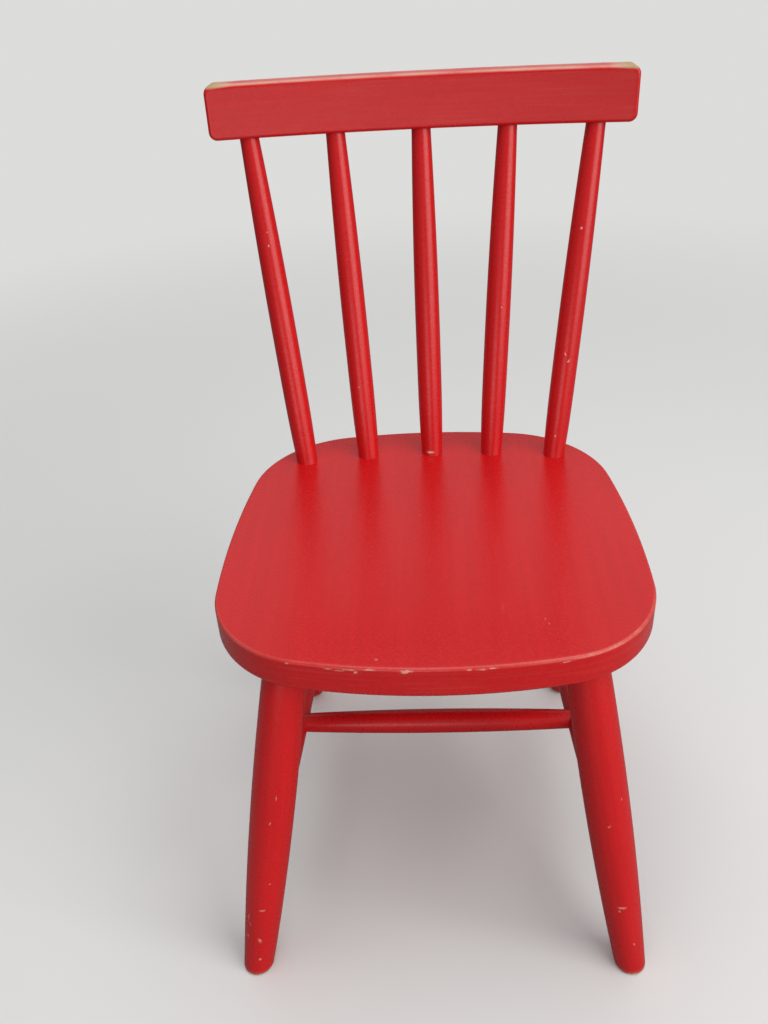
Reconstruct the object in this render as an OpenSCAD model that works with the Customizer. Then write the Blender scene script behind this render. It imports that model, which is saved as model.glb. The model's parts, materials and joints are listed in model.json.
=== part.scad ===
// A child's wooden chair with a spindle back: slab seat, curved crest rail, five fanned
// spindles, four splayed turned legs and an H of three turned stretchers.
// +Z is up and the sitter faces -Y. The origin lies on the floor, under the middle of the chair.
// Left and right are as seen from the front: left is -X.

/* [Seat] */
// Width of the seat at its widest
seat_w = 300; // [240:1:380]
// Depth of the seat, front to back
seat_d = 300; // [240:1:380]
// Thickness of the seat slab
seat_t = 25; // [18:1:32]
// Height of the seat's top face above the floor
seat_h = 283; // [220:1:360]
// How far the widest place lies in front of the seat's middle
seat_widest_forward = 40; // [0:1:60]
// Radius of the seat's slightly bowed sides
seat_side_r = 770; // [600:10:1200]
// Radius of the bowed front edge
seat_front_r = 445; // [350:5:700]
// Radius of the bowed back edge
seat_back_r = 470; // [380:5:700]
// Radius of the two front corners in plan
seat_front_corner_r = 76; // [50:1:90]
// Radius of the two back corners in plan
seat_back_corner_r = 85; // [60:1:100]
// Rounding of the seat's top edge
seat_top_round = 2; // [1:0.5:6]
// Rounding of the seat's bottom edge
seat_bottom_round = 5; // [2:0.5:10]

/* [Legs] */
// Distance from the front legs' centres to the seat's front edge, at the underside
front_leg_inset = 35; // [28:1:60]
// Distance from the front legs' centres to the seat's widest line
front_leg_side_inset = 51.5; // [40:0.5:80]
// Distance from the back legs' centres to the seat's back edge, at the underside
back_leg_inset = 76; // [50:1:100]
// Distance from the back legs' centres to the seat's widest line
back_leg_side_inset = 65.5; // [50:0.5:90]
// Outward lean of each leg, seen from the front, in degrees
leg_side_splay = 9.2; // [4:0.1:13]
// Forward or backward lean of each leg, seen from the side, in degrees
leg_end_splay = 11.5; // [4:0.1:15]
// Diameter of a leg where it meets the seat
leg_top_d = 29; // [24:0.5:36]
// Diameter of a leg at its swell
leg_swell_d = 31.6; // [26:0.2:40]
// Diameter of a leg at the foot
leg_foot_d = 22.2; // [16:0.2:28]
// Where the swell lies, as distance down the leg from the seat
leg_swell_at = 95; // [60:1:130]
// Rounding of the foot's bottom edge
foot_round = 3; // [1:0.5:5]
// Diameter of the tenon on top of a leg
leg_tenon_d = 20; // [14:0.5:24]
// Length of the leg's tenon in the seat
leg_tenon_len = 16; // [12:0.5:18]

/* [Stretchers] */
// Height of the three stretchers' centre lines above the floor
stretcher_h = 105.5; // [70:0.5:160]
// Diameter of a stretcher at its ends
stretcher_end_d = 14.6; // [12:0.2:18]
// Diameter of a stretcher at its middle
stretcher_mid_d = 19.5; // [16:0.5:24]
// Diameter of a stretcher's tenons
stretcher_tenon_d = 10; // [8:0.5:12]
// Length of a side stretcher's tenon, from the leg's centre line towards the far side
side_tenon_past_centre = 2; // [0:0.5:5]
// Wood left behind the cross stretcher's tenon in a side stretcher
cross_tenon_backing = 6; // [5:0.5:9]

/* [Back] */
// Distance from the centre spindle to the seat's back edge
spindle_inset = 34; // [24:1:60]
// Distance between the outer spindles at the seat, as a share of the seat's width
spindle_spread = 0.684; // [0.5:0.002:0.72]
// How much wider the spacing of the spindles is at the crest rail than at the seat
spindle_fan = 13; // [0:0.5:20]
// Radius of the curved row of spindles on the seat
spindle_row_r = 600; // [450:10:900]
// Length of the centre spindle that shows
spindle_len = 253.5; // [200:0.5:310]
// Backward lean of the spindles, in degrees
back_lean = 13; // [6:0.1:18]
// How far the centre spindle's hole in the seat was bored off the middle, to the right
centre_spindle_off = 2; // [0:0.5:4]
// Diameter of a spindle where it meets the seat
spindle_foot_d = 16.8; // [13:0.2:20]
// Diameter of a spindle at its swell
spindle_swell_d = 19.4; // [15:0.1:24]
// Diameter of a spindle where it meets the crest rail
spindle_head_d = 14.2; // [11:0.2:17]
// Height of a spindle's swell above the seat
spindle_swell_at = 93; // [60:1:130]
// Diameter of a spindle's tenons
spindle_tenon_d = 10; // [7:0.5:11]
// Length of a spindle's tenon in the seat
spindle_foot_tenon_len = 15; // [10:0.5:17]
// Length of a spindle's tenon in the crest rail
spindle_head_tenon_len = 14; // [10:0.5:15]

/* [Crest rail] */
// How far the crest rail runs on past the outer spindles' centres
crest_overhang = 27.6; // [20:0.2:45]
// Height of the crest rail
crest_h = 38; // [30:0.5:50]
// Thickness of the crest rail
crest_t = 20; // [17:0.5:26]
// Backward tilt of the crest rail, in degrees
crest_tilt = 1.5; // [0:0.5:14]
// Radius of the crest rail's curve at its middle line
crest_r = 1100; // [600:10:1500]
// Radius of the crest rail's four corners, seen from the front
crest_corner_r = 6; // [3:0.5:12]
// Rounding of the crest rail's long edges
crest_edge_round = 2.5; // [1:0.5:5]

/* [Joints] */
// Glue clearance round a tenon, at the radius
glue_gap = 0.1; // [0.05:0.05:0.3]
// Clearance between a tenon's end and the bottom of its socket
socket_gap = 1; // [0.5:0.5:2]

/* [Hidden] */
$fn = 96;

LEFT = -1;
RIGHT = 1;
FRONT = -1;
BACK = 1;
BIG = 1000;
paint = "#cf2a31";

profile_steps = 24;
edge_steps = 5;
arc_steps = 10;
trim_allowance = 6;
stretcher_spare = 2;
tenon_root = 10;

under_h = seat_h - seat_t;
spindle_foot_pitch = spindle_spread * seat_w / 4;
spindle_head_pitch = spindle_foot_pitch + spindle_fan;
crest_len = 4 * spindle_head_pitch + 2 * crest_overhang;
spindle_row_middle = [0, seat_d / 2 - spindle_inset, seat_h];
crest_foot = spindle_row_middle + spindle_len * [0, sin(back_lean), cos(back_lean)];
crest_up = [0, sin(crest_tilt), cos(crest_tilt)];
crest_back = [0, cos(crest_tilt), -sin(crest_tilt)];
foot_reach = seat_d / 2 - front_leg_inset + under_h * tan(leg_end_splay) + leg_foot_d / 2;
back_reach = (crest_foot + (crest_t / 2) * crest_back + crest_h * crest_up)[1];
origin_shift = (foot_reach - back_reach) / 2;

// ---- plan of the seat: eight arcs, each running smoothly into the next ----

seat_side_c = [seat_w / 2 - seat_side_r, -seat_widest_forward];
seat_back_c = [0, seat_d / 2 - seat_back_r];
seat_front_c = [0, seat_front_r - seat_d / 2];

// Where two circles cross; turn picks which of the two crossings
function crossing(c1, r1, c2, r2, turn) =
    let (
        gap = norm(c2 - c1),
        along = (c2 - c1) / gap,
        across = [along[1], -along[0]],
        a = (r1 * r1 - r2 * r2 + gap * gap) / (2 * gap)
    )
    c1 + a * along + turn * sqrt(r1 * r1 - a * a) * across;

back_corner_c = crossing(
    seat_side_c, seat_side_r - seat_back_corner_r,
    seat_back_c, seat_back_r - seat_back_corner_r, -1
);
front_corner_c = crossing(
    seat_side_c, seat_side_r - seat_front_corner_r,
    seat_front_c, seat_front_r - seat_front_corner_r, 1
);

function heading(v) = atan2(v[1], v[0]);

front_corner_start = heading(front_corner_c - seat_front_c);
side_start = heading(front_corner_c - seat_side_c);
side_end = heading(back_corner_c - seat_side_c);
back_corner_end = heading(back_corner_c - seat_back_c);

// The right half of the plan, front to back: centre, radius, first and last heading of each arc
right_arcs = [
    [seat_front_c, seat_front_r, -90, front_corner_start],
    [front_corner_c, seat_front_corner_r, front_corner_start, side_start],
    [seat_side_c, seat_side_r, side_start, side_end],
    [back_corner_c, seat_back_corner_r, side_end, back_corner_end],
    [seat_back_c, seat_back_r, back_corner_end, 90]
];

function arc_points(c, r, from, to, steps) =
    [for (i = [0:steps]) let (a = from + (to - from) * i / steps) c + r * [cos(a), sin(a)]];

// Points round the plan, all of it drawn in by inset; each arc leaves its last point to the next
function without_last(points) = [for (i = [0:len(points) - 2]) points[i]];
function right_outline(inset) = [
    for (arc = right_arcs)
        each without_last(arc_points(arc[0], arc[1] - inset, arc[2], arc[3], arc_steps))
];
function left_outline(inset) =
    let (back = [0, seat_d / 2 - inset], right = right_outline(inset))
    concat([back], [for (i = [len(right) - 1:-1:1]) [-right[i][0], right[i][1]]]);
function seat_outline(inset) = concat(right_outline(inset), left_outline(inset));

// Section through the seat's rim: how far each level is drawn in, and its height in the slab
rim_levels = concat(
    arc_points([seat_bottom_round, seat_bottom_round], seat_bottom_round, 270, 180, edge_steps),
    arc_points([seat_top_round, seat_t - seat_top_round], seat_top_round, 180, 90, edge_steps)
);

// The slab: rings of points up the rim, joined by faces, with a flat top and underside
module seat_blank() {
    n = len(seat_outline(0));
    last = len(rim_levels) - 1;
    polyhedron(
        points = [
            for (level = rim_levels)
                each [for (p = seat_outline(level[0])) [p[0], p[1], under_h + level[1]]]
        ],
        faces = concat(
            [[for (k = [0:n - 1]) k]],
            [
                for (j = [0:last - 1], k = [0:n - 1])
                    let (next = (k + 1) % n)
                    [j * n + k, (j + 1) * n + k, (j + 1) * n + next, j * n + next]
            ],
            [[for (k = [n - 1:-1:0]) last * n + k]]
        )
    );
}

// ---- turned pieces ----

// Radius at u, the distance from the swell as a share of the way to an end
function eased_radius(swell_r, end_r, u, power) = swell_r - (swell_r - end_r) * pow(u, power);

// Radius of a turned piece x along its length: one swell, tapering to both ends
function turned_radius(x, length, swell_at, first_r, swell_r, last_r, first_power) =
    x < swell_at
        ? eased_radius(swell_r, first_r, (swell_at - x) / swell_at, first_power)
        : eased_radius(swell_r, last_r, (x - swell_at) / (length - swell_at), 2);

// A turned body along +Z from 0 to length, its profile carried on by spare past both ends
module turned(length, swell_at, first_r, swell_r, last_r, first_power, spare) {
    reach = length + 2 * spare;
    rotate_extrude()
        polygon(concat(
            [[0, -spare]],
            [
                for (i = [0:profile_steps])
                    let (x = reach * i / profile_steps - spare)
                    [turned_radius(x, length, swell_at, first_r, swell_r, last_r, first_power), x]
            ],
            [[0, length + spare]]
        ));
}

// Moves children, without twisting them, so that their +Z runs from one point towards another
module aim(from, to) {
    v = to - from;
    turn = atan2(v[1], v[0]);
    translate(from) rotate([0, acos(v[2] / norm(v)), turn]) rotate([0, 0, -turn]) children();
}

module above(height) translate([-BIG / 2, -BIG / 2, height]) cube(BIG);
module below(height) translate([-BIG / 2, -BIG / 2, height - BIG]) cube(BIG);

// ---- legs ----

function leg_head(side, end) = [
    side * (seat_w / 2 - (end == FRONT ? front_leg_side_inset : back_leg_side_inset)),
    end * (seat_d / 2 - (end == FRONT ? front_leg_inset : back_leg_inset)),
    under_h
];
function leg_foot(side, end) =
    leg_head(side, end) + under_h * [side * tan(leg_side_splay), end * tan(leg_end_splay), -1];
leg_len = norm(leg_foot(RIGHT, FRONT) - leg_head(RIGHT, FRONT));

// A level pad shape that rounds the foot's edge and opens out above it
module foot_shape()
    rotate_extrude()
        polygon(concat(
            [[0, 0]],
            arc_points([leg_foot_d / 2 - foot_round, foot_round], foot_round, -90, 0, edge_steps),
            [[leg_foot_d / 2 + BIG / 2, BIG / 2], [0, BIG / 2]]
        ));

module leg_body(side, end)
    aim(leg_head(side, end), leg_foot(side, end))
        turned(
            leg_len, leg_swell_at,
            leg_top_d / 2, leg_swell_d / 2, leg_foot_d / 2, 2, trim_allowance
        );

// The leg's tenon, or with a gap its socket in the seat
module leg_tenon(side, end, gap = 0, end_gap = 0)
    aim(leg_head(side, end), leg_foot(side, end))
        translate([0, 0, -leg_tenon_len - end_gap])
            cylinder(h = leg_tenon_len + end_gap + tenon_root, r = leg_tenon_d / 2 + gap);

module leg(side, end)
    color(paint) in_frame() difference() {
        union() {
            intersection() {
                leg_body(side, end);
                below(under_h);
                translate([leg_foot(side, end)[0], leg_foot(side, end)[1], 0]) foot_shape();
            }
            leg_tenon(side, end);
        }
        side_tenons(side, glue_gap, socket_gap);
    }

// ---- stretchers ----

function leg_at_stretcher(side, end) =
    leg_head(side, end)
        + (leg_foot(side, end) - leg_head(side, end)) * (under_h - stretcher_h) / under_h;
function cross_end(side) = (leg_at_stretcher(side, FRONT) + leg_at_stretcher(side, BACK)) / 2;

module stretcher_body(from, to) {
    length = norm(to - from);
    aim(from, to)
        turned(
            length, length / 2,
            stretcher_end_d / 2, stretcher_mid_d / 2, stretcher_end_d / 2, 2, stretcher_spare
        );
}

module side_body(side)
    stretcher_body(leg_at_stretcher(side, FRONT), leg_at_stretcher(side, BACK));

// Both tenons of a side stretcher as one rod, or with a gap the sockets that take them
module side_tenons(side, gap = 0, end_gap = 0) {
    from = leg_at_stretcher(side, FRONT);
    to = leg_at_stretcher(side, BACK);
    past = side_tenon_past_centre + end_gap;
    aim(from, to)
        translate([0, 0, -past])
            cylinder(h = norm(to - from) + 2 * past, r = stretcher_tenon_d / 2 + gap);
}

// Both tenons of the cross stretcher as one rod, or with a gap the sockets that take them
module cross_tenons(gap = 0, end_gap = 0) {
    half = cross_end(RIGHT)[0] + stretcher_mid_d / 2 - cross_tenon_backing + end_gap;
    translate([0, cross_end(RIGHT)[1], stretcher_h])
        rotate([0, 90, 0])
            cylinder(h = 2 * half, r = stretcher_tenon_d / 2 + gap, center = true);
}

module side_stretcher(side)
    color(paint) in_frame() difference() {
        union() {
            difference() {
                side_body(side);
                leg_body(side, FRONT);
                leg_body(side, BACK);
            }
            side_tenons(side);
        }
        cross_tenons(glue_gap, socket_gap);
    }

// ---- back ----

// How far a curved row of radius r falls back towards its centre, x away from its middle
function bow(r, x) = r - sqrt(r * r - x * x);
function spindle_foot(i) =
    let (x = i * spindle_foot_pitch + (i == 0 ? centre_spindle_off : 0))
    spindle_row_middle + [x, -bow(spindle_row_r, x), 0];
function spindle_head(i) =
    let (x = i * spindle_head_pitch)
    crest_foot + [x, 0, 0] - bow(crest_r, x) * crest_back;

// The crest rail's own frame: +Z up its face, its curved middle line through the origin
module at_crest() translate(crest_foot) rotate([-crest_tilt, 0, 0]) children();

// Both tenons of a spindle as one rod, or with a gap the sockets that take them
module spindle_tenons(i, gap = 0, end_gap = 0) {
    from = spindle_foot(i);
    to = spindle_head(i);
    aim(from, to)
        translate([0, 0, -spindle_foot_tenon_len - end_gap])
            cylinder(
                h = norm(to - from) + spindle_foot_tenon_len + spindle_head_tenon_len + 2 * end_gap,
                r = spindle_tenon_d / 2 + gap
            );
}

module spindle(i) {
    from = spindle_foot(i);
    to = spindle_head(i);
    color(paint) in_frame() {
        intersection() {
            aim(from, to)
                turned(
                    norm(to - from), spindle_swell_at,
                    spindle_foot_d / 2, spindle_swell_d / 2, spindle_head_d / 2, 4, trim_allowance
                );
            above(seat_h);
            at_crest() below(0);
        }
        spindle_tenons(i);
    }
}

// Section of the crest rail, middle line at x = crest_r
function crest_section() =
    let (
        near = crest_r - crest_t / 2 + crest_edge_round,
        far = crest_r + crest_t / 2 - crest_edge_round,
        low = crest_edge_round,
        high = crest_h - crest_edge_round
    )
    concat(
        arc_points([near, low], crest_edge_round, 180, 270, edge_steps),
        arc_points([far, low], crest_edge_round, -90, 0, edge_steps),
        arc_points([far, high], crest_edge_round, 0, 90, edge_steps),
        arc_points([near, high], crest_edge_round, 90, 180, edge_steps)
    );

// Front view of the crest rail: a rectangle with round corners
function crest_front() =
    let (x = crest_len / 2 - crest_corner_r, low = crest_corner_r, high = crest_h - crest_corner_r)
    concat(
        arc_points([x, low], crest_corner_r, -90, 0, edge_steps),
        arc_points([x, high], crest_corner_r, 0, 90, edge_steps),
        arc_points([-x, high], crest_corner_r, 90, 180, edge_steps),
        arc_points([-x, low], crest_corner_r, 180, 270, edge_steps)
    );

module crest_blank() {
    half_sweep = asin((crest_len / 2 + trim_allowance) / crest_r);
    intersection() {
        translate([0, -crest_r, 0])
            rotate([0, 0, 90 - half_sweep])
                rotate_extrude(angle = 2 * half_sweep) polygon(crest_section());
        translate([0, BIG / 2, 0]) rotate([90, 0, 0]) linear_extrude(BIG) polygon(crest_front());
    }
}

// ---- the pieces ----

module in_frame() translate([0, origin_shift, 0]) children();

module seat()
    color(paint) in_frame() difference() {
        seat_blank();
        for (side = [LEFT, RIGHT], end = [FRONT, BACK]) leg_tenon(side, end, glue_gap, socket_gap);
        for (i = [-2:2]) spindle_tenons(i, glue_gap, socket_gap);
    }

module crest_rail()
    color(paint) in_frame() difference() {
        at_crest() crest_blank();
        for (i = [-2:2]) spindle_tenons(i, glue_gap, socket_gap);
    }

module cross_stretcher()
    color(paint) in_frame() {
        difference() {
            stretcher_body(cross_end(LEFT), cross_end(RIGHT));
            side_body(LEFT);
            side_body(RIGHT);
        }
        cross_tenons();
    }

seat();
crest_rail();
spindle(-2);  // spindle_left_outer
spindle(-1);  // spindle_left_inner
spindle(0);  // spindle_centre
spindle(1);  // spindle_right_inner
spindle(2);  // spindle_right_outer
leg(LEFT, FRONT);  // front_leg_left
leg(RIGHT, FRONT);  // front_leg_right
leg(LEFT, BACK);  // back_leg_left
leg(RIGHT, BACK);  // back_leg_right
side_stretcher(LEFT);  // side_stretcher_left
side_stretcher(RIGHT);  // side_stretcher_right
cross_stretcher();
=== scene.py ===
"""A child's red painted spindle-back chair, worn and chipped, on a pale floor.

The chair's 14 pieces are modelled here at the sizes of the CAD frame, each one standing for the
CAD node of the same name. The sitter faces -Y, +Z is up, and left is -X, seen from the front.
"""

import json
import math
import random

import bmesh
import bpy
from mathutils import Matrix, Vector


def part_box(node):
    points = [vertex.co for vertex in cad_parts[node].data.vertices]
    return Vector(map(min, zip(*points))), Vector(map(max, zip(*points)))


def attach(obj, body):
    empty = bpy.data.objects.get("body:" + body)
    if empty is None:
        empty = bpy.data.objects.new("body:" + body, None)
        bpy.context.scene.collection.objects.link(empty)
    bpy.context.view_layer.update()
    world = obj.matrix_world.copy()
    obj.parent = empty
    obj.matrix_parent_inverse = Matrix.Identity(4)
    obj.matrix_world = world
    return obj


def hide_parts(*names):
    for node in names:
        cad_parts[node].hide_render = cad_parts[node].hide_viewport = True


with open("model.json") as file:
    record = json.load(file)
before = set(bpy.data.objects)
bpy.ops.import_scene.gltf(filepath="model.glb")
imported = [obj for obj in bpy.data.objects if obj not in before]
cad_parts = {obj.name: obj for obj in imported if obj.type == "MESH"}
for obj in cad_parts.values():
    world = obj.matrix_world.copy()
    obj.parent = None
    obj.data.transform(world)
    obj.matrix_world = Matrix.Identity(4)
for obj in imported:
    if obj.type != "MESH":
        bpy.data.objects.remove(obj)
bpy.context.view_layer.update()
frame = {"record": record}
MM = 0.001

# ---------------------------------------------------------------- sizes, in mm
# They are the CAD's, apart from CREST_T, which is 0.08 less so that the rail's bowed back stays
# inside the CAD's box.
SEAT_SIDE_R, SEAT_FRONT_R, SEAT_BACK_R = 770, 445, 470
SEAT_FRONT_CORNER_R, SEAT_BACK_CORNER_R = 76, 85
SEAT_WIDEST_FORWARD = 40
SEAT_TOP_ROUND, SEAT_BOTTOM_ROUND = 2, 5
LEG_TOP_R, LEG_SWELL_R, LEG_FOOT_R, LEG_SWELL_AT = 14.5, 15.8, 11.1, 95
LEG_SIDE_SPLAY, LEG_END_SPLAY = 9.2, 11.5
FOOT_ROUND = 3
STRETCHER_END_R, STRETCHER_MID_R, STRETCHER_H = 7.3, 9.75, 105.5
SPINDLE_INSET, SPINDLE_FOOT_PITCH, SPINDLE_HEAD_PITCH = 34, 51.3, 64.3
SPINDLE_ROW_R, SPINDLE_LEN, BACK_LEAN, CENTRE_SPINDLE_OFF = 600, 253.5, 13, 2
SPINDLE_FOOT_R, SPINDLE_SWELL_R, SPINDLE_HEAD_R, SPINDLE_SWELL_AT = 8.4, 9.7, 7.1, 93
CREST_H, CREST_T, CREST_TILT, CREST_R = 38, 19.92, 1.5, 1100
CREST_CORNER_R, CREST_EDGE_ROUND = 6, 2.5

# How far short of its neighbours' axes a stretcher stops, and how far a spindle's ends sink into
# its neighbours
SIDE_STRETCHER_START, CROSS_STRETCHER_START = 8, 5
SINK = 0.3

# The boxes of the seat and the rail give the rest
seat_low, seat_high = (Vector(c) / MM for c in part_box("seat"))
SEAT_W, SEAT_D = seat_high.x - seat_low.x, seat_high.y - seat_low.y
SEAT_TOP, SEAT_UNDER = seat_high.z, seat_low.z
SEAT_T = SEAT_TOP - SEAT_UNDER
SEAT_Y = (seat_high.y + seat_low.y) / 2
crest_low, crest_high = (Vector(c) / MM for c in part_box("crest_rail"))
CREST_LEN = crest_high.x - crest_low.x


def tan_deg(a):
    return math.tan(math.radians(a))


def direction(deg):
    """Unit vector leaning back from upright by deg."""
    return Vector((0, math.sin(math.radians(deg)), math.cos(math.radians(deg))))


# ---------------------------------------------------------------- mesh helpers

rng = random.Random(7)
SHARP_ANGLE = math.radians(50)


def mesh_object(name, verts, faces, grain, wear_and_sheen=None):
    """A mesh from coordinates in mm, smooth but for its sharp edges.

    grain gives each point in the piece's own axes, its z along the wood's grain. wear_and_sheen says
    how exposed each point is to rubbing, and on the seat's top arris and the rail's top where painted
    sheen goes, from 0 to 1.
    """
    me = bpy.data.meshes.new(name)
    me.from_pydata([tuple(Vector(v) * MM) for v in verts], [], faces)
    me.update()
    own = me.attributes.new("grain", "FLOAT_VECTOR", "POINT")
    offset = Vector((rng.uniform(0, 1), rng.uniform(0, 1), rng.uniform(0, 1)))
    flat = [c for g in grain for c in Vector(g) * MM + offset]
    own.data.foreach_set("vector", flat)
    layer = me.attributes.new("wear_and_sheen", "FLOAT", "POINT")
    layer.data.foreach_set("value", wear_and_sheen or [0.0] * len(verts))
    me.shade_smooth()
    me.set_sharp_from_angle(angle=SHARP_ANGLE)
    ob = bpy.data.objects.new(name + "_wood", me)
    bpy.context.scene.collection.objects.link(ob)
    return ob


def stand_for(ob, node, paint):
    """Paints a piece, and puts it in the place of a CAD node on the chair's one body."""
    ob.data.materials.append(paint)
    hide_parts(node)
    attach(ob, "root")


def band(lower, upper, n):
    """Quads between two rings of n points, given where each ring's vertices start."""
    quads = []
    for k in range(n):
        k2 = (k + 1) % n
        quads.append((lower + k, lower + k2, upper + k2, upper + k))
    return quads


def ring_faces(rings, n):
    """Quads between rings of n points each; ring j starts at vertex j * n."""
    return [quad for j in range(rings - 1) for quad in band(j * n, (j + 1) * n, n)]


# ---------------------------------------------------------------- seat


def crossing(c1, r1, c2, r2, turn):
    """Where two circles cross; turn picks which of the two crossings."""
    gap = (c2 - c1).length
    along = (c2 - c1) / gap
    across = Vector((along.y, -along.x))
    a = (r1 * r1 - r2 * r2 + gap * gap) / (2 * gap)
    return c1 + a * along + turn * math.sqrt(r1 * r1 - a * a) * across


def seat_arcs():
    """The right half of the seat's plan: centre, radius, first and last heading of each arc."""
    side = Vector((SEAT_W / 2 - SEAT_SIDE_R, -SEAT_WIDEST_FORWARD))
    back = Vector((0, SEAT_D / 2 - SEAT_BACK_R))
    front = Vector((0, SEAT_FRONT_R - SEAT_D / 2))
    back_corner = crossing(
        side, SEAT_SIDE_R - SEAT_BACK_CORNER_R, back, SEAT_BACK_R - SEAT_BACK_CORNER_R, -1
    )
    front_corner = crossing(
        side, SEAT_SIDE_R - SEAT_FRONT_CORNER_R, front, SEAT_FRONT_R - SEAT_FRONT_CORNER_R, 1
    )

    def heading(v):
        return math.atan2(v.y, v.x)

    a1 = heading(front_corner - front)
    a2 = heading(front_corner - side)
    a3 = heading(back_corner - side)
    a4 = heading(back_corner - back)
    return [
        (front, SEAT_FRONT_R, -math.pi / 2, a1),
        (front_corner, SEAT_FRONT_CORNER_R, a1, a2),
        (side, SEAT_SIDE_R, a2, a3),
        (back_corner, SEAT_BACK_CORNER_R, a3, a4),
        (back, SEAT_BACK_R, a4, math.pi / 2),
    ]


SEAT_ARCS = seat_arcs()


def seat_outline(inset, steps=(26, 24, 30, 24, 26)):
    """Points round the plan, drawn in by inset, from the middle of the front edge, anticlockwise."""
    right = []
    for (c, r, a, b), n in zip(SEAT_ARCS, steps):
        for i in range(n):
            t = a + (b - a) * i / n
            right.append(Vector((c.x + (r - inset) * math.cos(t), c.y + (r - inset) * math.sin(t))))
    left = [Vector((-p.x, p.y)) for p in reversed(right[1:])]
    return right + [Vector((0, SEAT_D / 2 - inset))] + left


# The pale line on the top arris, partly wear and partly a painted highlight: how far it is from the
# sharp edge that the rounding takes off, and how far to either side it goes
ARRIS_WEAR_AND_HIGHLIGHT_AT, ARRIS_WEAR_AND_HIGHLIGHT_WIDTH = 1.2, 2.2


def edge_arc(inset0, z0, radius, a, b, steps):
    """Levels on a rounded edge: (inset, height) pairs."""
    out = []
    for i in range(steps + 1):
        t = math.radians(a + (b - a) * i / steps)
        out.append((inset0 - radius * math.cos(t), z0 + radius * math.sin(t)))
    return out


def make_seat():
    """The slab: rings up its rounded side, then rings that close its top and underside."""
    top, bottom = SEAT_TOP_ROUND, SEAT_BOTTOM_ROUND
    levels = edge_arc(bottom, bottom, bottom, -90, 0, 8)
    levels += [(0, bottom + (SEAT_T - top - bottom) * i / 5) for i in range(1, 5)]
    levels += edge_arc(top, SEAT_T - top, top, 0, 90, 8)
    verts, wear_and_sheen = [], []
    for inset, z in levels:
        arris = math.hypot(inset, SEAT_T - z)
        for p in seat_outline(inset):
            verts.append((p.x, p.y + SEAT_Y, SEAT_UNDER + z))
            wear_and_sheen.append(max(0.0, 1 - abs(arris - ARRIS_WEAR_AND_HIGHLIGHT_AT) / ARRIS_WEAR_AND_HIGHLIGHT_WIDTH))
    n = len(seat_outline(0))
    rings = len(levels)
    faces = ring_faces(rings, n)

    def cap(start, z, inset, upwards):
        """Closes a flat face by rings that shrink towards its middle."""
        for share in (0.985, 0.95, 0.88, 0.76, 0.6, 0.42, 0.24, 0.1):
            first = len(verts)
            for p in seat_outline(inset):
                verts.append((p.x * share, p.y * share + SEAT_Y, z))
                wear_and_sheen.append(0.0)
            for quad in band(start, first, n):
                faces.append(quad if upwards else quad[::-1])
            start = first
        verts.append((0, SEAT_Y, z))
        wear_and_sheen.append(0.0)
        mid = len(verts) - 1
        for k in range(n):
            tri = (start + k, start + (k + 1) % n, mid)
            faces.append(tri if upwards else tri[::-1])

    cap((rings - 1) * n, SEAT_TOP, levels[-1][0], True)
    cap(0, SEAT_UNDER, levels[0][0], False)
    grain = [(v[0], v[2], v[1]) for v in verts]
    return mesh_object("seat", verts, faces, grain, wear_and_sheen)


# ---------------------------------------------------------------- turned pieces

TURNED_SIDES, LEG_SIDES = 64, 72


def eased(swell, end, u, power):
    """From swell where u is 0 to end where u is 1, steeper towards the end."""
    return swell - (swell - end) * u**power


def turned_radius(x, length, swell_at, first, swell, last, first_power):
    """A turning's radius at x: it eases from first up to swell, and down to last."""
    if x < swell_at:
        return eased(swell, first, (swell_at - x) / swell_at, first_power)
    return eased(swell, last, (x - swell_at) / (length - swell_at), 2)


def turned(name, start, end, radius_at, lengthwise, fit_start=None, fit_end=None):
    """A lathe-turned piece along start -> end.

    fit_start and fit_end say how far an end ring's point moves out along the axis to meet the
    neighbour.
    """
    axis = end - start
    length = axis.length
    w = axis / length
    u = w.orthogonal().normalized()
    v = w.cross(u)
    verts, grain = [], []
    for j in range(lengthwise + 1):
        x = length * j / lengthwise
        r = radius_at(x)
        for k in range(TURNED_SIDES):
            t = 2 * math.pi * k / TURNED_SIDES
            p = start + w * x + r * (math.cos(t) * u + math.sin(t) * v)
            if j == 0 and fit_start:
                p = p - w * fit_start(p)
            if j == lengthwise and fit_end:
                p = p + w * fit_end(p)
            verts.append(p)
            grain.append((r * math.cos(t), r * math.sin(t), x))
    faces = ring_faces(lengthwise + 1, TURNED_SIDES)
    faces.append(tuple(reversed(range(TURNED_SIDES))))
    faces.append(tuple(lengthwise * TURNED_SIDES + k for k in range(TURNED_SIDES)))
    return mesh_object(name, verts, faces, grain)


# ---------------------------------------------------------------- legs


LEG_SPLAY = Vector((tan_deg(LEG_SIDE_SPLAY), tan_deg(LEG_END_SPLAY), -1))
mounts = {m["name"]: Vector(m["pos_m"]) / MM for m in frame["record"]["mounts"]}


def leg_line(side, end):
    """Head and foot of a leg's axis. The foot is where the record's mount says."""
    foot = mounts["foot_%s_%s" % ("front" if end < 0 else "back", "left" if side < 0 else "right")]
    down = Vector((side * LEG_SPLAY.x, end * LEG_SPLAY.y, -1))
    return foot - down * SEAT_UNDER, foot


def leg_radius(x, length):
    return turned_radius(x, length, LEG_SWELL_AT, LEG_TOP_R, LEG_SWELL_R, LEG_FOOT_R, 2)


# The lengths over which a leg's rings turn level at its head and foot, and how high its foot is
# scuffed
HEAD_TURN, FOOT_TURN, SCUFF_H = 30, 24, 9


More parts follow.
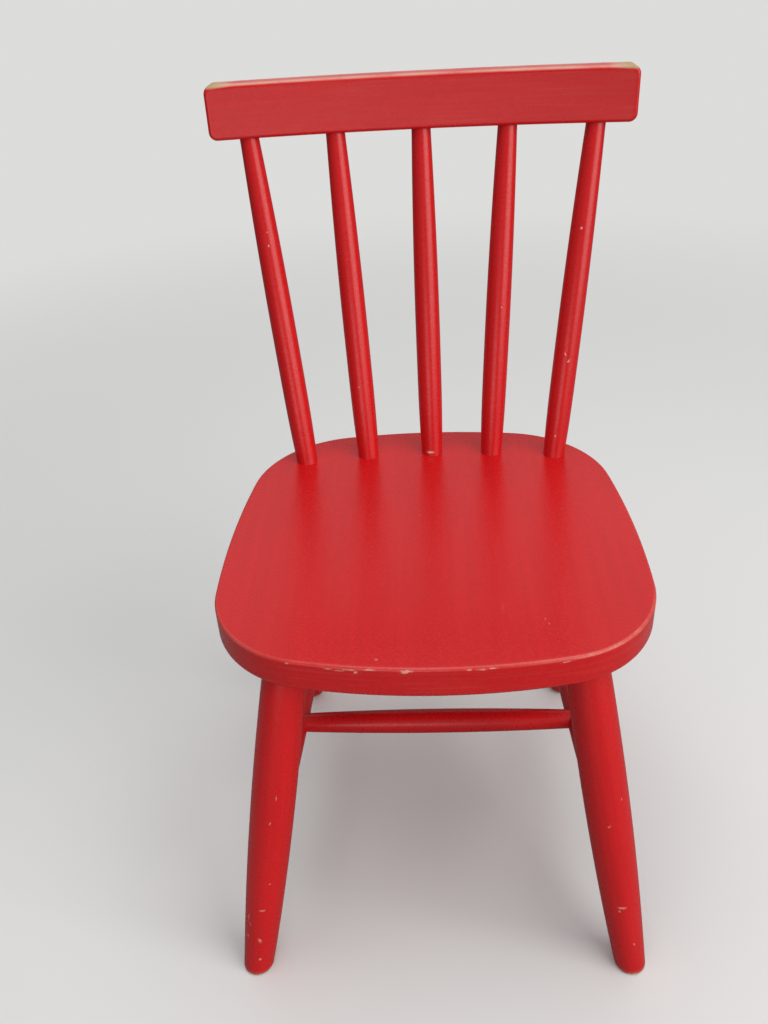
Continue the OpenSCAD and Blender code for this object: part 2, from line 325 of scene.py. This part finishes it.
def make_leg(name, side, end):
    """A leg whose rings lie level at both ends, with the foot's edge rounded off."""
    head, foot = leg_line(side, end)
    axis = foot - head
    length = axis.length
    w = axis / length
    u = w.orthogonal().normalized()
    v = w.cross(u)
    lengthwise, foot_steps = 60, 6
    body_len = length - FOOT_ROUND / abs(w.z)
    verts, grain, wear_and_sheen = [], [], []

    def ring(x, shrink=0.0):
        """A ring at x down the axis, level where it is close to an end."""
        r = leg_radius(x, length)
        centre = head + w * x
        near = max(0.0, 1 - min(x / HEAD_TURN, (length - x) / FOOT_TURN))
        level = near * near * (3 - 2 * near)
        for k in range(LEG_SIDES):
            t = 2 * math.pi * k / LEG_SIDES
            p = centre + r * (math.cos(t) * u + math.sin(t) * v)
            p += w * ((centre.z - p.z) / w.z) * level
            if shrink:
                out = (p - centre).normalized()
                p = p - out * shrink
                p.z = centre.z
            verts.append(p)
            grain.append((r * math.cos(t), r * math.sin(t), x))
            wear_and_sheen.append(max(0.0, 1 - p.z / SCUFF_H))

    for j in range(lengthwise + 1):
        ring(body_len * j / lengthwise)
    for i in range(1, foot_steps + 1):
        t = math.radians(90 * i / foot_steps)
        z = FOOT_ROUND * (1 - math.sin(t))
        ring(length - z / abs(w.z), FOOT_ROUND * (1 - math.cos(t)))
    rings = lengthwise + 1 + foot_steps
    faces = ring_faces(rings, LEG_SIDES)
    faces.append(tuple((rings - 1) * LEG_SIDES + k for k in range(LEG_SIDES)))
    faces.append(tuple(reversed(range(LEG_SIDES))))
    return mesh_object(name, verts, faces, grain, wear_and_sheen)


def leg_at_height(side, end, z):
    """The point of a leg's axis at height z."""
    head, foot = leg_line(side, end)
    return head + (foot - head) * ((SEAT_UNDER - z) / SEAT_UNDER)


# ---------------------------------------------------------------- stretchers


def make_stretcher(name, a, b, start):
    """A bar between the axis points a and b that stops start short of both."""
    full = (b - a).length
    inwards = (b - a).normalized() * start

    def radius_at(x):
        return turned_radius(
            x + start, full, full / 2, STRETCHER_END_R, STRETCHER_MID_R, STRETCHER_END_R, 2
        )

    return turned(name, a + inwards, b - inwards, radius_at, lengthwise=70)


def make_stretchers():
    """The two side bars, and the cross bar between their middles."""
    made, middles = [], []
    for side, word in ((-1, "left"), (1, "right")):
        a, b = (leg_at_height(side, end, STRETCHER_H) for end in (-1, 1))
        name = "side_stretcher_" + word
        made.append((name, make_stretcher(name, a, b, SIDE_STRETCHER_START)))
        middles.append((a + b) / 2)
    name = "cross_stretcher"
    made.append((name, make_stretcher(name, *middles, CROSS_STRETCHER_START)))
    return made


# ---------------------------------------------------------------- back

CREST_UP = direction(CREST_TILT)
CREST_BACK = Vector((0, CREST_UP.z, -CREST_UP.y))
ROW_MIDDLE = Vector((0, SEAT_D / 2 - SPINDLE_INSET + SEAT_Y, SEAT_TOP))
CREST_FOOT = ROW_MIDDLE + SPINDLE_LEN * direction(BACK_LEAN)


def bow(r, x):
    """How far an arc of radius r falls back at x from its middle."""
    return r - math.sqrt(r * r - x * x)


def spindle_line(i):
    """Foot and head of the axis of spindle i, counted from 0 at the centre."""
    foot_x = i * SPINDLE_FOOT_PITCH + (CENTRE_SPINDLE_OFF if i == 0 else 0)
    head_x = i * SPINDLE_HEAD_PITCH
    foot = ROW_MIDDLE + Vector((foot_x, -bow(SPINDLE_ROW_R, foot_x), 0))
    head = CREST_FOOT + Vector((head_x, 0, 0)) - bow(CREST_R, head_x) * CREST_BACK
    return foot, head


def spindle_radius(x, length):
    return turned_radius(
        x, length, SPINDLE_SWELL_AT, SPINDLE_FOOT_R, SPINDLE_SWELL_R, SPINDLE_HEAD_R, 4
    )


def make_spindle(name, i):
    """A spindle. Its rings stop trim short of both ends, but for the end rings, which are drawn
    out to meet the seat and the rail."""
    foot, head = spindle_line(i)
    length = (head - foot).length
    w = (head - foot).normalized()
    trim = 3.0

    def radius_at(x):
        return spindle_radius(x + trim, length)

    def to_seat(p):
        return (p.z - SEAT_TOP) / w.z + SINK

    def to_rail(p):
        return (CREST_FOOT - p).dot(CREST_UP) / w.dot(CREST_UP) + SINK

    first, last = foot + w * trim, head - w * trim
    return turned(name, first, last, radius_at, lengthwise=80, fit_start=to_seat, fit_end=to_rail)


def round_rectangle(half, high, corner, steps, flat_x, flat_z):
    """Points round a rectangle with round corners, from its lower left, anticlockwise."""
    points = []
    runs = (
        ((half - corner, corner), -90, flat_x),
        ((half - corner, high - corner), 0, flat_z),
        ((corner - half, high - corner), 90, flat_x),
        ((corner - half, corner), 180, flat_z),
    )
    last = (corner - half, 0.0)
    for (cx, cz), first_deg, flat in runs:
        arc = []
        for i in range(steps + 1):
            t = math.radians(first_deg + 90 * i / steps)
            arc.append((cx + corner * math.cos(t), cz + corner * math.sin(t)))
        for i in range(flat):
            share = i / flat
            x = last[0] + (arc[0][0] - last[0]) * share
            z = last[1] + (arc[0][1] - last[1]) * share
            points.append((x, z))
        points += arc[:-1]
        last = arc[-1]
    return points


# How far down from the rail's top the wear and the painted sheen go
CREST_WEAR_AND_SHEEN_H = 3.2


def make_crest():
    """The curved rail: its front outline stands upright, and its edges are rounded."""
    half, corner, edge, deep = CREST_LEN / 2, CREST_CORNER_R, CREST_EDGE_ROUND, CREST_T / 2
    outline = round_rectangle(half, CREST_H, corner, steps=9, flat_x=64, flat_z=8)
    n = len(outline)

    def inward(point, d):
        """A point of the outline moved in by d, square to it."""
        x, z = point
        nx = x - max(corner - half, min(half - corner, x))
        nz = z - max(corner, min(CREST_H - corner, z))
        size = math.hypot(nx, nz)
        return x - nx / size * d, z - nz / size * d

    verts, grain, wear_and_sheen = [], [], []

    def add(x, y, z):
        """A point y behind the rail's middle surface; the top's two arrises get the most wear and
        painted sheen.
        """
        r = CREST_R + y
        behind = math.sqrt(r * r - x * x) - CREST_R
        verts.append(CREST_FOOT + Vector((x, 0, 0)) + CREST_UP * z + CREST_BACK * behind)
        grain.append((y, z, x))
        near_top = max(0.0, 1 - (CREST_H - z) / CREST_WEAR_AND_SHEEN_H)
        wear_and_sheen.append(near_top * (0.58 + 0.42 * (y / deep) ** 2))

    # Levels from the front face round to the back face: how far drawn in, and how deep
    quarter = [math.radians(90 * i / 5) for i in range(6)]
    levels = [(edge * (1 - math.sin(t)), -deep + edge * (1 - math.cos(t))) for t in quarter]
    levels += [(0, y) for y in (-5, -2.5, 0, 2.5, 5)]
    levels += [(edge * (1 - math.cos(t)), deep - edge * (1 - math.sin(t))) for t in quarter]
    for drawn_in, y in levels:
        for point in outline:
            x, z = inward(point, drawn_in)
            add(x, y, z)
    faces = [f[::-1] for f in ring_faces(len(levels), n)]

    # The front and back faces close in on a line along the rail's middle
    spine = half - CREST_H * 0.55
    for level, forwards in ((0, True), (len(levels) - 1, False)):
        drawn_in, y = levels[level]
        start = level * n
        for share in (0.94, 0.75, 0.4, 0.0):
            first = len(verts)
            for point in outline:
                x, z = inward(point, drawn_in)
                middle = max(-spine, min(spine, x))
                z = CREST_H / 2 + (z - CREST_H / 2) * share
                add(middle + (x - middle) * share, y, z)
            for quad in band(start, first, n):
                faces.append(quad if forwards else quad[::-1])
            start = first
    ob = mesh_object("crest_rail", verts, faces, grain, wear_and_sheen)

    # Points that fell together on the spine are joined
    same = 0.01 * MM
    bm = bmesh.new()
    bm.from_mesh(ob.data)
    bmesh.ops.remove_doubles(bm, verts=bm.verts, dist=same)
    bmesh.ops.dissolve_degenerate(bm, edges=bm.edges, dist=same)
    bmesh.ops.recalc_face_normals(bm, faces=bm.faces)
    bm.to_mesh(ob.data)
    bm.free()
    return ob


# ---------------------------------------------------------------- paint and wear


def srgb(r, g, b):
    """An 8-bit colour as the eye sees it, in the linear values that the shaders take."""
    linear = [((c / 255 + 0.055) / 1.055) ** 2.4 if c > 10 else c / 255 / 12.92 for c in (r, g, b)]
    return (*linear, 1)


RED = srgb(208, 22, 25)
DEEP_RED = srgb(201, 19, 23)
# Pale red for thinned paint and chip edges, and also the painted highlight on the seat's top arris
# and the painted reflection on the rail's top
THIN_PAINT_AND_SHEEN_RED = srgb(214, 96, 88)
BARE_WOOD = srgb(230, 192, 168)
WORN_EDGE = srgb(212, 168, 148)
DIRTY_WOOD = srgb(180, 150, 104)


class Nodes:
    """Short ways to add and link shader nodes."""

    def __init__(self, name):
        self.mat = bpy.data.materials.new(name)
        self.mat.use_nodes = True
        self.tree = self.mat.node_tree
        self.shader = self.tree.nodes["Principled BSDF"]

    def add(self, kind, **props):
        node = self.tree.nodes.new(kind)
        for k, v in props.items():
            setattr(node, k, v)
        return node

    def put(self, value, socket):
        if isinstance(value, bpy.types.NodeSocket):
            self.tree.links.new(value, socket)
        else:
            socket.default_value = value

    def math(self, op, a, b=0.0, clamp=False):
        node = self.add("ShaderNodeMath", operation=op, use_clamp=clamp)
        self.put(a, node.inputs[0])
        self.put(b, node.inputs[1])
        return node.outputs[0]

    def vector(self, op, a, b=(0, 0, 0)):
        node = self.add("ShaderNodeVectorMath", operation=op)
        self.put(a, node.inputs[0])
        self.put(b, node.inputs[1])
        return node.outputs["Value" if op in ("DOT_PRODUCT", "LENGTH") else "Vector"]

    def attribute(self, name):
        return self.add("ShaderNodeAttribute", attribute_name=name)

    def xyz(self, vector):
        node = self.add("ShaderNodeSeparateXYZ")
        self.put(vector, node.inputs[0])
        return node.outputs

    def noise(self, vector, scale, detail=2.0, rough=0.5):
        node = self.add("ShaderNodeTexNoise")
        self.put(vector, node.inputs["Vector"])
        node.inputs["Scale"].default_value = scale
        node.inputs["Detail"].default_value = detail
        node.inputs["Roughness"].default_value = rough
        return node.outputs["Fac"]

    def step(self, value, low, high):
        """0 below low, 1 above high, smooth between; low may be the larger."""
        node = self.add("ShaderNodeMapRange", interpolation_type="SMOOTHSTEP")
        self.put(value, node.inputs["Value"])
        self.put(low, node.inputs["From Min"])
        self.put(high, node.inputs["From Max"])
        return node.outputs["Result"]

    def mix(self, fac, a, b):
        node = self.add("ShaderNodeMix", data_type="RGBA")
        self.put(fac, node.inputs[0])
        self.put(a, node.inputs[6])
        self.put(b, node.inputs[7])
        return node.outputs[2]

    def blend(self, fac, a, b):
        """A number that goes from a to b."""
        node = self.add("ShaderNodeMix", data_type="FLOAT")
        self.put(fac, node.inputs[0])
        self.put(a, node.inputs[2])
        self.put(b, node.inputs[3])
        return node.outputs[0]


class Chip:
    """A place where paint is gone: centre, direction of its length, outward normal, size, in mm."""

    def __init__(self, at, along, normal, length, width):
        self.at = Vector(at) * MM
        x = Vector(along).normalized()
        z = (Vector(normal) - x * Vector(normal).dot(x)).normalized()
        self.turn = Matrix((x, z.cross(x), z)).transposed().to_euler()
        self.scale = (length / 2 * MM, width / 2 * MM, 2.5 * MM)


def nearest_chip(n, position, chips):
    """Distance to the nearest chip, in shares of its own size: under 1 is inside."""
    nearest = None
    for chip in chips:
        node = n.add("ShaderNodeMapping", vector_type="TEXTURE")
        n.put(position, node.inputs["Vector"])
        node.inputs["Location"].default_value = chip.at
        node.inputs["Rotation"].default_value = chip.turn
        node.inputs["Scale"].default_value = chip.scale
        away = n.vector("LENGTH", node.outputs[0])
        nearest = away if nearest is None else n.math("MINIMUM", nearest, away)
    return nearest


Z = Vector((0, 0, 1))
PAINT_ROUGH, SEAT_ROUGH = 0.3, 0.25
PAINT_IOR = 1.45

# The relief's share and its depth in mm
BUMP_STRENGTH, BUMP_DEPTH = 0.3, 0.25

# Noise scales, per metre, and the stretch of the level ridges in a piece's own axes
BRUSH_SCALE, CLOUD_SCALE, RAGGED_SCALE = 420, 9, 620
RIDGE_STRETCH = (14, 1100, 14)

# How ragged a chip's outline is, and where its bare middle and its thinned edge begin and end, as
# shares of its size with the raggedness added
CHIP_RAGGED = 2.4
CHIP_BARE = (2.0, 1.7)
CHIP_EDGE = (2.5, 1.95)


def painted(name, chips=(), stretch=(260, 260, 9), ridges=0.0, rubbing_and_sheen=None, chip_depth=0.9,
            grain_depth=0.28, rough=PAINT_ROUGH):
    """Satin red paint on wood: grain that shows through, chips down to the wood, rubbed arrises with
    painted sheen.

    stretch scales the piece's own axes into the grain's noise. ridges adds fine level lines to
    the upright faces. rubbing_and_sheen(n, wear_and_sheen, position, ragged) returns how far the
    paint is paled, by thinning and by painted sheen, how far it is rubbed through, and how dirty the
    wood there is. chip_depth is how bare the chips are. rough is the paint's roughness.
    """
    n = Nodes(name)
    position = n.add("ShaderNodeTexCoord").outputs["Object"]
    own = n.attribute("grain").outputs["Vector"]
    wear_and_sheen = n.attribute("wear_and_sheen").outputs["Fac"]
    grain = n.noise(n.vector("MULTIPLY", own, stretch), 1.0, 3, 0.6)
    brushed = n.noise(own, BRUSH_SCALE, 1, 0.4)
    cloudy = n.noise(position, CLOUD_SCALE, 2)

    tone = n.math("ADD", n.math("MULTIPLY", grain, 0.6), n.math("MULTIPLY", cloudy, 0.4))
    colour = n.mix(n.step(tone, 0.36, 0.64), DEEP_RED, RED)
    brush_marks = n.math("MULTIPLY", brushed, 0.14)
    height = n.math("ADD", n.math("MULTIPLY", grain, grain_depth), brush_marks)
    if ridges:
        facing = n.add("ShaderNodeNewGeometry").outputs["Normal"]
        upright = n.math("SUBTRACT", 1.0, n.math("ABSOLUTE", n.vector("DOT_PRODUCT", facing, Z)))
        level = n.noise(n.vector("MULTIPLY", own, RIDGE_STRETCH), 1.0, 2, 0.5)
        raised = n.math("MULTIPLY", n.math("MULTIPLY", level, upright), ridges)
        height = n.math("ADD", height, raised)
        paler = n.math("MULTIPLY", n.step(level, 0.5, 0.72), n.math("MULTIPLY", upright, 0.2))
        colour = n.mix(paler, colour, THIN_PAINT_AND_SHEEN_RED)

    ragged = n.noise(position, RAGGED_SCALE, 3, 0.65)
    bare = 0.0
    if rubbing_and_sheen:
        # On the seat's top arris and the rail's top, the pale mix below is partly thinned paint and
        # partly painted sheen
        thinned_and_sheen, bare, dirty = rubbing_and_sheen(n, wear_and_sheen, position, ragged)
        colour = n.mix(thinned_and_sheen, colour, THIN_PAINT_AND_SHEEN_RED)
        colour = n.mix(bare, colour, n.mix(dirty, WORN_EDGE, DIRTY_WOOD))
    if chips:
        wander = n.math("MULTIPLY", ragged, CHIP_RAGGED)
        away = n.math("ADD", nearest_chip(n, position, chips), wander)
        gone = n.step(away, *CHIP_BARE)
        edge = n.math("MULTIPLY", n.step(away, *CHIP_EDGE), 0.45)
        colour = n.mix(edge, colour, THIN_PAINT_AND_SHEEN_RED)
        colour = n.mix(n.math("MULTIPLY", gone, chip_depth), colour, BARE_WOOD)
        height = n.math("SUBTRACT", height, n.math("MULTIPLY", gone, 0.7))
        bare = n.math("MAXIMUM", bare, gone)
    n.put(colour, n.shader.inputs["Base Color"])
    satin = n.blend(n.step(brushed, 0.3, 0.7), rough - 0.03, rough + 0.04)
    n.put(n.blend(bare, satin, 0.7), n.shader.inputs["Roughness"])
    n.shader.inputs["IOR"].default_value = PAINT_IOR
    bump = n.add("ShaderNodeBump")
    bump.inputs["Strength"].default_value = BUMP_STRENGTH
    bump.inputs["Distance"].default_value = BUMP_DEPTH * MM
    n.put(height, bump.inputs["Height"])
    n.put(bump.outputs[0], n.shader.inputs["Normal"])
    return n.mat


# ---------------------------------------------------------------- where the chips are


def front_y(x):
    """Where the seat's front edge is, x from its middle."""
    return SEAT_Y + SEAT_FRONT_R - SEAT_D / 2 - math.sqrt(SEAT_FRONT_R**2 - x * x)


def on_front_edge(x, down, length, width, steep=0.0):
    """A chip on the seat's front edge, down from the top face; steep turns it off level."""
    outwards = Vector((x / SEAT_FRONT_R, -1, 0))
    across = Vector((1, x / SEAT_FRONT_R, -steep))
    return Chip((x, front_y(x), SEAT_TOP - down), across, outwards, length, width)


def on_seat(x, y, length, width, heading):
    """A chip on the seat's top, y in front of the seat's middle."""
    a = math.radians(heading)
    return Chip((x, SEAT_Y - y, SEAT_TOP), (math.cos(a), math.sin(a), 0), Z, length, width)


def on_round(start, end, radius_at, up, heading, length, width, lean=0.0):
    """A chip on a turned piece, up along its axis and heading degrees round from its front."""
    axis = (end - start).normalized()
    out = Vector((math.sin(math.radians(heading)), -math.cos(math.radians(heading)), 0))
    out = (out - axis * out.dot(axis)).normalized()
    along = axis * math.cos(math.radians(lean)) + axis.cross(out) * math.sin(math.radians(lean))
    return Chip(start + axis * up + out * radius_at(up), along, out, length, width)


def on_leg(side, end, up, heading, length, width, lean=0.0):
    """A chip on a leg, up from its foot."""
    head, foot = leg_line(side, end)
    total = (foot - head).length

    def radius_at(x):
        return leg_radius(total - x, total)

    return on_round(foot, head, radius_at, up, heading, length, width, lean)


def on_spindle(i, up, heading, length, width, lean=0.0):
    """A chip on spindle i, up from the seat."""
    foot, head = spindle_line(i)
    total = (head - foot).length

    def radius_at(x):
        return spindle_radius(x, total)

    return on_round(foot, head, radius_at, up, heading, length, width, lean)


# Each list follows the photo's chips; the back legs, which it hides, have a few of their own
SEAT_CHIPS = [
    on_front_edge(-18.5, 2.2, 5.5, 3.0),
    on_front_edge(-16, 1.4, 7.0, 1.6),
    on_front_edge(-48.6, 3.6, 2.8, 2.2),
    on_front_edge(-53, 2.0, 12, 1.0),
    on_front_edge(-40, 1.2, 9, 1.2),
    on_front_edge(-66, 2.4, 8, 0.9),
    on_front_edge(-59, 3.2, 6, 0.8),
    on_front_edge(21, 1.4, 4.5, 1.6),
    on_front_edge(29, 1.6, 7.5, 1.5),
    on_front_edge(36, 1.2, 5, 0.9),
    on_front_edge(82, 2.4, 9, 0.9, -0.12),
    on_front_edge(-92, 1.6, 4, 1.2),
    on_seat(-36, 140, 1.8, 1.5, 0),
    on_seat(72.3, 104.3, 2.6, 0.8, 70),
    on_seat(74.3, 109.3, 1.4, 1.2, 0),
    on_seat(-60, 38, 1.0, 1.0, 0),
    on_seat(-8, -20, 0.9, 0.9, 0),
    on_seat(46, 92, 9, 0.35, 86),
]
SPINDLE_CHIPS = [
    on_spindle(0, 1.6, -8, 2.4, 7.5),
    on_spindle(2, 180, -14, 2.2, 1.6),
    on_spindle(2, 79, 4, 3.2, 1.4, 35),
    on_spindle(2, 84, -14, 2.6, 1.0, -20),
    on_spindle(2, 17, -14, 1.8, 1.4),
    on_spindle(-2, 176, 10, 2.4, 0.9),
    on_spindle(-2, 186, 14, 1.6, 0.8),
    on_spindle(1, 120, 10, 1.4, 0.8),
    on_spindle(-1, 60, -8, 1.2, 0.9),
]
LEG_CHIPS = [
    on_leg(-1, -1, 66, -1, 1.8, 5.5, -22),
    on_leg(-1, -1, 54, -46, 9.0, 1.1, 8),
    on_leg(-1, -1, 49, -38, 5.0, 0.9, -35),
    on_leg(-1, -1, 36, -1, 5.0, 2.6, -25),
    on_leg(-1, -1, 36, -46, 3.5, 2.0),
    on_leg(-1, -1, 16.5, 6, 2.8, 2.4),
    on_leg(-1, -1, 169, 10, 4.0, 0.8),
    on_leg(-1, -1, 147, 0, 3.0, 0.8, 20),
    on_leg(-1, -1, 92, 14, 2.2, 1.0, 40),
    on_leg(1, -1, 67, -2, 2.4, 6.0, 6),
    on_leg(1, -1, 64, -12, 2.0, 2.2),
    on_leg(1, -1, 142, -4, 3.4, 1.8, 50),
    on_leg(1, -1, 161, 36, 3.0, 0.8),
    on_leg(1, -1, 30, 20, 2.0, 1.6),
    on_leg(-1, 1, 40, 150, 4.0, 2.0, 30),
    on_leg(1, 1, 58, -160, 5.0, 1.4, -10),
    on_leg(1, 1, 24, 120, 2.8, 2.4),
]


def seat_arris_wear_and_highlight(n, wear_and_sheen, position, ragged):
    """The top arris: a pale line along the front, most of all at the right, partly paint rubbed thin
    and partly a painted highlight.
    """
    x, y, _ = n.xyz(position)
    front = n.step(y, (SEAT_Y - 0.2 * SEAT_D) * MM, (SEAT_Y - 0.36 * SEAT_D) * MM)
    right = n.step(x, 0.1 * SEAT_W * MM, 0.34 * SEAT_W * MM)
    left = n.step(x, -0.34 * SEAT_W * MM, -0.42 * SEAT_W * MM)
    much = n.math("ADD", n.math("MULTIPLY", right, 0.5), n.math("MULTIPLY", left, 0.32))
    much = n.math("ADD", n.math("MULTIPLY", front, n.math("ADD", much, 0.14)), 0.1)
    patchy = n.noise(position, 55, 3, 0.6)
    much = n.math("MULTIPLY", much, n.math("ADD", n.math("MULTIPLY", patchy, 1.6), 0.1))
    # The pale line along the arris is partly paint rubbed thin and partly a painted highlight,
    # strongest at the right front
    line = n.step(wear_and_sheen, 0.5, 1.0)
    thinned_and_sheen = n.math("MULTIPLY", n.math("MULTIPLY", line, much), 1.3, clamp=True)
    bare = n.math("MULTIPLY", n.step(n.math("MULTIPLY", thinned_and_sheen, ragged), 0.34, 0.52), 0.4)
    return thinned_and_sheen, bare, 0.0


def rail_top_wear_and_sheen(n, wear_and_sheen, position, ragged):
    """The rail's top: paler all along, partly paint rubbed thin and partly a painted reflection, and
    down to dirty wood at both ends.
    """
    out = n.math("ABSOLUTE", n.xyz(position)[0])
    ends = n.step(out, (CREST_LEN / 2 - 24) * MM, (CREST_LEN / 2 - 2) * MM)
    patchy = n.noise(position, 40, 3, 0.6)
    # The paler band all along the top is partly paint rubbed thin and partly a painted reflection
    top = n.step(wear_and_sheen, 0.35, 0.95)
    some = n.math("ADD", n.math("MULTIPLY", patchy, 0.8), 0.35)
    thinned_and_sheen = n.math("MULTIPLY", top, some, clamp=True)
    bare = n.math("ADD", n.math("MULTIPLY", ends, 0.5), n.math("MULTIPLY", patchy, 0.5))
    bare = n.step(n.math("ADD", bare, n.math("MULTIPLY", ragged, 0.3)), 0.18, 0.5)
    exposed = n.math("ADD", wear_and_sheen, n.math("MULTIPLY", ends, 0.4))
    bare = n.math("MULTIPLY", bare, n.step(exposed, 0.45, 0.95))
    return thinned_and_sheen, bare, ends


def foot_rubbed(n, wear_and_sheen, position, ragged):
    """The foot's rim, scuffed down to the wood here and there."""
    patchy = n.noise(position, 130, 3, 0.6)
    thinned_and_sheen = n.math("MULTIPLY", n.step(wear_and_sheen, 0.3, 0.8), patchy)
    bare = n.step(n.math("MULTIPLY", wear_and_sheen, n.math("ADD", patchy, ragged)), 0.66, 0.78)
    return thinned_and_sheen, bare, 0.7


# ---------------------------------------------------------------- build the pieces

# Each stretch is for a piece's two axes across the grain, then for the one along it
# The seat's arris line and the rail's top band are wear together with painted highlight and sheen
seat_paint = painted(
    "seat_paint", SEAT_CHIPS, (220, 220, 7), 1.0, seat_arris_wear_and_highlight, chip_depth=0.62, rough=SEAT_ROUGH
)
rail_paint = painted("rail_paint", (), (420, 420, 12), 0.6, rail_top_wear_and_sheen)
spindle_paint = painted("spindle_paint", SPINDLE_CHIPS, (180, 180, 520), grain_depth=0.2)
leg_paint = painted("leg_paint", LEG_CHIPS, rubbing_and_sheen=foot_rubbed, chip_depth=0.42, grain_depth=0.18)
stretcher_paint = painted("stretcher_paint")

stand_for(make_seat(), "seat", seat_paint)
stand_for(make_crest(), "crest_rail", rail_paint)

SPINDLES = ("left_outer", "left_inner", "centre", "right_inner", "right_outer")
for i, word in enumerate(SPINDLES):
    name = "spindle_" + word
    stand_for(make_spindle(name, i - 2), name, spindle_paint)

for end, end_word in ((-1, "front"), (1, "back")):
    for side, side_word in ((-1, "left"), (1, "right")):
        name = "%s_leg_%s" % (end_word, side_word)
        stand_for(make_leg(name, side, end), name, leg_paint)

for name, ob in make_stretchers():
    stand_for(ob, name, stretcher_paint)

# ---------------------------------------------------------------- floor, light and camera

# The background, the even light on the chair, and the floor as the camera and as the chair see it
PALE = (0.72, 0.72, 0.71, 1)
AMBIENT = (0.238, 0.243, 0.25, 1)
FLOOR_SEEN, FLOOR_LIT = (0.8, 0.8, 0.79, 1), (0.24, 0.24, 0.24, 1)

# Half the floor's side, and how far out it starts and ends fading into the background, in metres
FLOOR_HALF, FADE_FROM, FADE_TO = 15.0, 0.35, 1.9


def floor_paper():
    """Matt pale paper that fades into a pale background away from the chair.

    Only the camera sees it this pale, so that the light off it doesn't wash the chair out.
    """
    n = Nodes("floor_paper")
    seen = n.add("ShaderNodeLightPath").outputs["Is Camera Ray"]
    n.put(n.mix(seen, FLOOR_LIT, FLOOR_SEEN), n.shader.inputs["Base Color"])
    n.shader.inputs["Roughness"].default_value = 0.9
    away = n.vector("LENGTH", n.add("ShaderNodeTexCoord").outputs["Object"])
    glow = n.add("ShaderNodeEmission")
    glow.inputs["Color"].default_value = PALE
    both = n.add("ShaderNodeMixShader")
    n.put(n.math("MULTIPLY", seen, n.step(away, FADE_FROM, FADE_TO)), both.inputs[0])
    n.put(n.shader.outputs[0], both.inputs[1])
    n.put(glow.outputs[0], both.inputs[2])
    n.put(both.outputs[0], n.tree.nodes["Material Output"].inputs["Surface"])
    return n.mat


corners = [(-FLOOR_HALF, -FLOOR_HALF, 0), (FLOOR_HALF, -FLOOR_HALF, 0)]
corners += [(FLOOR_HALF, FLOOR_HALF, 0), (-FLOOR_HALF, FLOOR_HALF, 0)]
floor_mesh = bpy.data.meshes.new("floor")
floor_mesh.from_pydata(corners, [], [(0, 1, 2, 3)])
floor = bpy.data.objects.new("floor", floor_mesh)
bpy.context.scene.collection.objects.link(floor)
floor.data.materials.append(floor_paper())

# The camera sees the pale background, and the chair gets a dimmer even light
world = bpy.data.worlds.new("studio")
bpy.context.scene.world = world
world.use_nodes = True
seen = world.node_tree.nodes.new("ShaderNodeLightPath").outputs["Is Camera Ray"]
sky = world.node_tree.nodes.new("ShaderNodeMix")
sky.data_type = "RGBA"
sky.inputs[6].default_value = AMBIENT
sky.inputs[7].default_value = PALE
world.node_tree.links.new(seen, sky.inputs[0])
world.node_tree.links.new(sky.outputs[2], world.node_tree.nodes["Background"].inputs["Color"])


def area(name, where, look_at, size, power, colour=(1, 1, 1)):
    """A soft rectangular lamp, in metres and watts."""
    lamp = bpy.data.lights.new(name, "AREA")
    lamp.shape = "RECTANGLE"
    lamp.size, lamp.size_y = size
    lamp.energy = power
    lamp.color = colour
    ob = bpy.data.objects.new(name, lamp)
    ob.location = where
    ob.rotation_euler = (Vector(look_at) - Vector(where)).to_track_quat("-Z", "Y").to_euler()
    bpy.context.scene.collection.objects.link(ob)
    return ob


area("window", (2.6, -1.95, 1.5), (0, 0, 0.3), (3.0, 2.8), 84, (1.0, 0.98, 0.95))
area("doorway", (-0.24, -1.0, 0.31), (0, 0.1, 0.5), (0.6, 0.4), 1.5)
area("ceiling", (0.1, -0.1, 2.3), (0, 0, 0), (2.0, 2.0), 24)

# This one stands in for the white wall behind the chair, which the seat's top reflects
wall = area("wall", (0, 0.75, 1.1), (0, 0, 0.3), (1.8, 0.9), 2.4)
wall.visible_camera = False

# The photograph's camera, fitted without lens distortion
CAMERA_AT = Vector((1.8, -584.0 + SEAT_Y, 687.7)) * MM
CAMERA_YAW, CAMERA_PITCH, CAMERA_ROLL = -3.537, 33.54, 3.437
FOCAL_PX, FRAME_PX = 958.1, 1024
SENSOR_H = 24
yaw, pitch, roll = (math.radians(a) for a in (CAMERA_YAW, CAMERA_PITCH, CAMERA_ROLL))
forward = Vector((math.sin(yaw) * math.cos(pitch), math.cos(yaw) * math.cos(pitch), -math.sin(pitch)))
right = Vector((math.cos(yaw), -math.sin(yaw), 0))
up = right.cross(forward)
cam_x = math.cos(roll) * right - math.sin(roll) * up
cam_y = math.sin(roll) * right + math.cos(roll) * up
camera = bpy.data.objects.new("camera", bpy.data.cameras.new("camera"))
camera.matrix_world = Matrix(
    (
        (cam_x.x, cam_y.x, -forward.x, CAMERA_AT.x),
        (cam_x.y, cam_y.y, -forward.y, CAMERA_AT.y),
        (cam_x.z, cam_y.z, -forward.z, CAMERA_AT.z),
        (0, 0, 0, 1),
    )
)
camera.data.sensor_fit = "VERTICAL"
camera.data.sensor_height = SENSOR_H
camera.data.lens = FOCAL_PX / FRAME_PX * SENSOR_H
camera.data.clip_start = 0.02
bpy.context.scene.collection.objects.link(camera)
bpy.context.scene.camera = camera
bpy.context.scene.view_settings.view_transform = "Standard"
